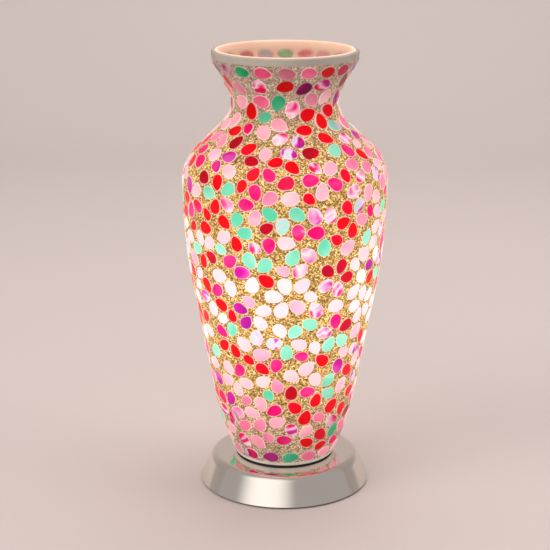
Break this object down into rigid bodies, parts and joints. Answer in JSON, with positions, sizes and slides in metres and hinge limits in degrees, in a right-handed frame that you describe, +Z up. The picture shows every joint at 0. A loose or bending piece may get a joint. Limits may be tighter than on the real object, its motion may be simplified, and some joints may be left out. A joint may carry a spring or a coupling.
{
  "type": "mosaic glass table lamp",
  "caption": "Vase-shaped mosaic glass shade lit from inside by a screw-cap bulb on a polished round base; the shade lifts off.",
  "frame": {"origin": "on the table surface, on the lamp's axis", "axes": "+Z up along the lamp's axis, +Y towards the cord inlet at the back, so the front faces -Y"},
  "size_m": [0.1626, 0.1619, 0.353],
  "materials": {
    "rubber_black": "matt",
    "chrome_polished": "polished",
    "plate_black": "satin",
    "zinc_screws": "zinc plated",
    "cast_iron_grey": "as cast",
    "steel_plain": "turned",
    "plastic_black": "gloss",
    "ceramic_white": "unglazed",
    "brass_contact": "plain",
    "nylon_white": "matt",
    "wire_brown": "matt",
    "wire_blue": "matt",
    "wire_earth": "green and yellow",
    "solder": "dull",
    "black_glass": "gloss",
    "nickel_cap": "nickel plated",
    "opal_glass": "opal",
    "clear_glass": "clear",
    "board": "matt",
    "filament": "glowing",
    "vase_glass": "frosted",
    "grout_plain": "matt",
    "grout_glitter": "gold glitter",
    "glass_blush": "gloss",
    "glass_pink": "gloss",
    "glass_hot_pink": "gloss",
    "glass_red": "gloss",
    "glass_crimson": "gloss",
    "glass_mint": "gloss",
    "glass_cream": "gloss",
    "glass_magenta": "gloss",
    "glass_marbled_rose": "marbled",
    "glass_marbled_violet": "marbled"
  },
  "bodies": {
    "base": {"foot_ring": "rubber_black", "base_shell": "chrome_polished", "bottom_plate": "plate_black", "plate_screws": "zinc_screws", "ballast_disc": "cast_iron_grey", "clamp_washer": "steel_plain", "stem_nut": "steel_plain", "threaded_stem": "steel_plain", "seat_gasket": "rubber_black", "gallery_ring": "steel_plain", "gallery_nut": "steel_plain", "stem_cover": "chrome_polished", "lampholder_cap": "plastic_black", "lampholder_barrel": "plastic_black", "lampholder_insert": "ceramic_white", "lampholder_ring": "plastic_black", "holder_terminals": "brass_contact", "screw_shell": "brass_contact", "centre_contact": "brass_contact", "cord_grommet": "rubber_black", "cord_grip": "plastic_black", "cord_grip_screws": "zinc_screws", "terminal_block": "nylon_white", "terminal_sleeves": "brass_contact", "terminal_screws": "zinc_screws", "live_lead": "wire_brown", "neutral_lead": "wire_blue", "earth_lead": "wire_earth", "earth_tag": "solder", "earth_screw": "zinc_screws"},
    "bulb_tip": {"bulb_tip_contact": "solder"},
    "bulb": {"bulb_cap_insulator": "black_glass", "bulb_cap": "nickel_cap", "bulb_envelope": "opal_glass", "bulb_stem": "clear_glass", "bulb_driver": "board", "led_filaments": "filament"},
    "shade": {"glass_vase": "vase_glass", "foot_band": "grout_plain", "glitter_grout": "grout_glitter", "rim_band": "grout_plain", "chips_blush": "glass_blush", "chips_pink": "glass_pink", "chips_hot_pink": "glass_hot_pink", "chips_red": "glass_red", "chips_crimson": "glass_crimson", "chips_mint": "glass_mint", "chips_cream": "glass_cream", "chips_magenta": "glass_magenta", "chips_marbled_rose": "glass_marbled_rose", "chips_marbled_violet": "glass_marbled_violet"}
  },
  "joints": [
    {"name": "shade_lift", "type": "slide", "parent": "base", "child": "shade", "axis": [0, 0, 1], "range_m": [0, 0.2]},
    {"name": "bulb_rise", "type": "slide", "parent": "base", "child": "bulb_tip", "axis": [0, 0, 1], "range_m": [0, 0.01134]},
    {"name": "bulb_turn", "type": "hinge", "parent": "bulb_tip", "child": "bulb", "pos_m": [0, 0, 0.1], "axis": [0, 0, 1], "range_deg": [0, 1440]}
  ],
  "couplings": [
    {"joint": "bulb_rise", "follows": "bulb_turn", "m_per_rad": 0.00044913}
  ]
}
